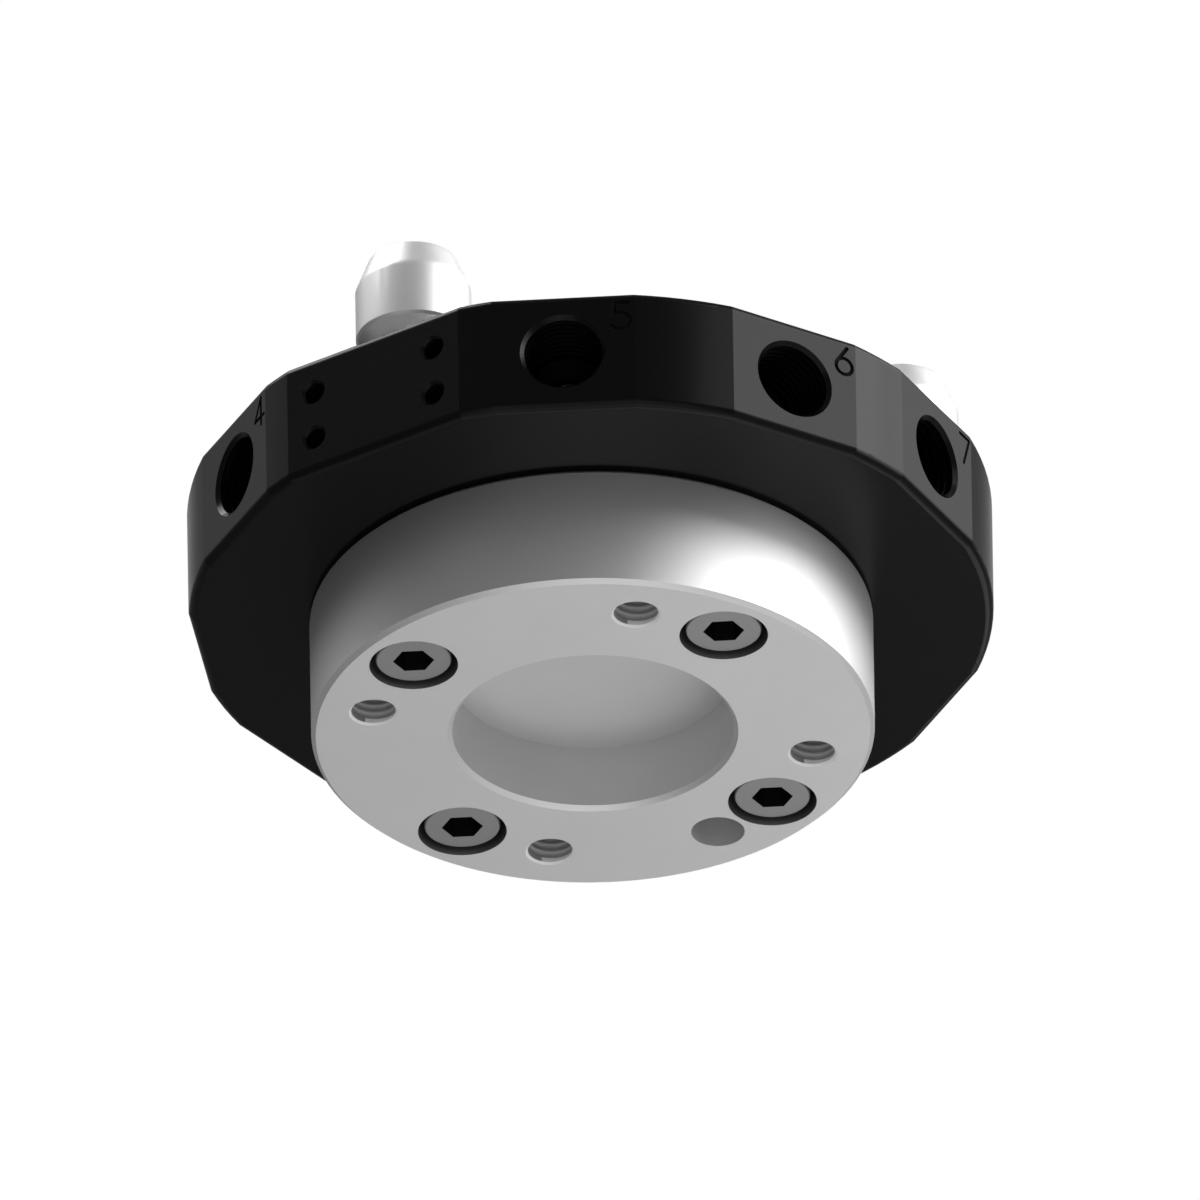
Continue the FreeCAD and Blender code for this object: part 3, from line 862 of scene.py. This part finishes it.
# %% Creases of the rim
PLATE_R, CREASE_INSIDE = 45 * MM, 1.2 * MM
CREASE_PLAY = math.radians(0.4)
PORT_FLAT, MODULE_FLAT = 16 * MM, 23 * MM
creases = []
for mount, width in [(port, PORT_FLAT) for port in ports] + [(module, MODULE_FLAT)]:
    turn = math.atan2(mount["axis"][1], mount["axis"][0])
    reach = math.asin(width / 2 / PLATE_R)
    creases += [turn - reach, turn + reach]


def on_crease(v):
    """Whether a corner of the rim lies where a flat meets the round."""
    turn = math.atan2(v.co.y, v.co.x)
    return (math.hypot(v.co.x, v.co.y) > PLATE_R - CREASE_INSIDE
            and any(abs(math.remainder(turn - crease, math.tau)) < CREASE_PLAY for crease in creases))


skin = bmesh.new()
skin.from_mesh(plate.data)
marked = [e for e in skin.edges if all(on_crease(v) for v in e.verts)]
for e in marked:
    e.smooth = False
skin.to_mesh(plate.data)
skin.free()
stands_for(plate, "tool_plate")
print("edges marked on", len(creases), "creases:", len(marked))

# %% [markdown]
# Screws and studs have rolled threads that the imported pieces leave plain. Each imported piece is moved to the
# origin, its plain shank is cut off near the head, and a threaded shank is joined on. A cut leaves a hole,
# so its rim is filled again before the pieces are joined. The new shank has a core a hair thinner than the
# thread's foot, so the two overlap cleanly, and its end is chamfered as a screw's is.

# %% Helpers for threaded shanks
ROUND_STEPS = 48


def on_own_axis(name):
    """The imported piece's shape, welded and moved to the origin."""
    made = welded(name)
    bmesh.ops.translate(made, verts=made.verts, vec=-axis_of(name))
    return made


def cut_off(made, height, above):
    """Cuts a piece level and closes the cut: above says whether the upper part goes."""
    everything = made.verts[:] + made.edges[:] + made.faces[:]
    cut = bmesh.ops.bisect_plane(made, geom=everything, dist=WELD, clear_outer=above, clear_inner=not above,
                                 plane_co=(0, 0, height), plane_no=(0, 0, 1))
    rim = [g for g in cut["geom_cut"] if isinstance(g, bmesh.types.BMEdge)]
    bmesh.ops.holes_fill(made, edges=rim)
    return made


def turned_solid(profile, ring=False):
    """Closed solid round +Z from points (radius, height) in millimetres: from axis to axis, or a ring."""
    made = bmesh.new()
    chain = [made.verts.new((r * MM, 0, z * MM)) for r, z in profile]
    edges = [made.edges.new(pair) for pair in zip(chain, chain[1:])]
    if ring:
        edges.append(made.edges.new((chain[-1], chain[0])))
    bmesh.ops.spin(made, geom=chain + edges, cent=(0, 0, 0), axis=(0, 0, 1), angle=math.tau,
                   steps=ROUND_STEPS, use_merge=True)
    bmesh.ops.remove_doubles(made, verts=made.verts, dist=WELD)
    bmesh.ops.recalc_face_normals(made, faces=made.faces)
    return made


def rolled(name, core, crest, pitch, start, end, material):
    """The ridge of a screw's thread as a piece, from sizes in millimetres."""
    return piece_from(name, thread(core * MM, crest * MM, pitch * MM, start * MM, end * MM), material)


def placed(piece, offset):
    """Moves a piece's mesh, so that its object stays at the origin."""
    piece.data.transform(Matrix.Translation(offset))


# %% [markdown]
# The flange screws are M5 socket screws. The side of the head is knurled, so that it can be turned by hand:
# a ring of straight V grooves, cut by prisms of four sides that stand on edge. The prisms don't touch each
# other, so that all of them make one tool. All four screws are alike and turned alike, so the first one is
# dressed at the origin and copied to the four places. The sizes here are in millimetres.

# %% Shank of a flange screw
M5_CORE, M5_CREST, M5_PITCH, M5_START = 2.01, 2.49, 0.8, 6.6
THINNER = 0.02
SHANK_KEPT, SHANK_FROM, SHANK_TIP = 7.08, 6.88, 25.58
TIP_R, TIP_CHAMFER, RUN_OUT = 1.55, 0.5, 0.45
m5_head = cut_off(on_own_axis(SCREWS[0]), SHANK_KEPT * MM, above=True)
screw = piece_from("dressed_" + SCREWS[0], m5_head, oxide)
m5_round = M5_CORE - THINNER
shank = piece_from("m5_core", turned_solid([(0, SHANK_FROM), (m5_round, SHANK_FROM),
                                            (m5_round, SHANK_TIP - TIP_CHAMFER), (TIP_R, SHANK_TIP),
                                            (0, SHANK_TIP)]), oxide)
ridge = rolled("m5_thread", M5_CORE, M5_CREST, M5_PITCH, M5_START, SHANK_TIP - RUN_OUT, oxide)

# %% Head of a flange screw
HEAD_R, HEAD_FACE = 4.25, 0.58
KNURL_LOW, KNURL_HIGH = 1.05, 5.7
GROOVES, GROOVE_DEPTH, GROOVE_HALF = 60, 0.15, 0.2
RIM_INSIDE, RIM_BEVEL, RIM_FOOT = 3.6, 0.12, 1.15
SOCKET_R, SOCKET_DEEP = 2.4, 3.5
prism = bmesh.new()
bmesh.ops.create_cone(prism, cap_ends=True, segments=4, radius1=GROOVE_HALF * MM, radius2=GROOVE_HALF * MM,
                      depth=(KNURL_HIGH - KNURL_LOW) * MM)
to_groove = Vector((HEAD_R + GROOVE_HALF - GROOVE_DEPTH, 0, (KNURL_LOW + KNURL_HIGH) / 2)) * MM
round_head = [Matrix.Rotation(math.tau * i / GROOVES, 4, "Z") @ Matrix.Translation(to_groove)
              for i in range(GROOVES)]
knurl = gathered("knurl", prism, round_head, oxide)
rim = piece_from("head_rim", turned_solid([(RIM_INSIDE, HEAD_FACE), (HEAD_R - RIM_BEVEL, HEAD_FACE),
                                           (HEAD_R, HEAD_FACE + RIM_BEVEL), (HEAD_R, RIM_FOOT),
                                           (RIM_INSIDE, RIM_FOOT)], ring=True), oxide)
carve(screw, ("UNION", rim), ("UNION", shank), ("UNION", ridge), ("DIFFERENCE", knurl))
# The hex socket is painted near black as painted shade.
paint_light_in_hole(screw, UP * HEAD_FACE * MM, UP, SOCKET_R * MM, UNDER_FACE, SOCKET_DEEP * MM, socket_painted_shade)

# %% Flange screws in their places
pattern_screw = screw.data.copy()
for name in SCREWS:
    if name != SCREWS[0]:
        screw = bpy.data.objects.new("dressed_" + name, pattern_screw.copy())
        scene.collection.objects.link(screw)
        screw.modifiers.new("weighted_normals", "WEIGHTED_NORMAL").keep_sharp = True
    placed(screw, axis_of(name))
    stands_for(screw, name)
print("flange screws dressed:", len(SCREWS))

# %% [markdown]
# The locking studs screw into the plate with M8 threads, and a collar below the neck centres them. Each one
# was turned on its own, so its turning marks run round its own axis: the Mapping node in its finish moves
# the pattern there.

# %% Locking studs
M8_CORE, M8_CREST, M8_PITCH = 3.23, 3.98, 1.25
COLLAR_LOW, CUT_BELOW, CORE_BELOW = 27.5, 0.1, 0.05
STUD_TIP, STUD_TIP_R, STUD_CHAMFER = 19.5, 2.55, 0.7
m8_round = M8_CORE - THINNER
core_top = COLLAR_LOW - CORE_BELOW
STUDS = [f"locking_stud_{i}" for i in range(1, 4)]
for name in STUDS:
    axis = axis_of(name)
    own_steel = ground_steel(name.replace("locking_stud", "hardened_steel"), axis)
    head = cut_off(on_own_axis(name), (COLLAR_LOW - CUT_BELOW) * MM, above=False)
    stud = piece_from("dressed_" + name, head, own_steel)
    core = piece_from("m8_core", turned_solid([(0, STUD_TIP), (STUD_TIP_R, STUD_TIP),
                                               (m8_round, STUD_TIP + STUD_CHAMFER), (m8_round, core_top),
                                               (0, core_top)]), own_steel)
    ridge = rolled("m8_thread", M8_CORE, M8_CREST, M8_PITCH, STUD_TIP, COLLAR_LOW, own_steel)
    carve(stud, ("UNION", core), ("UNION", ridge))
    placed(stud, axis)
    stands_for(stud, name)
print("locking studs dressed:", len(STUDS))
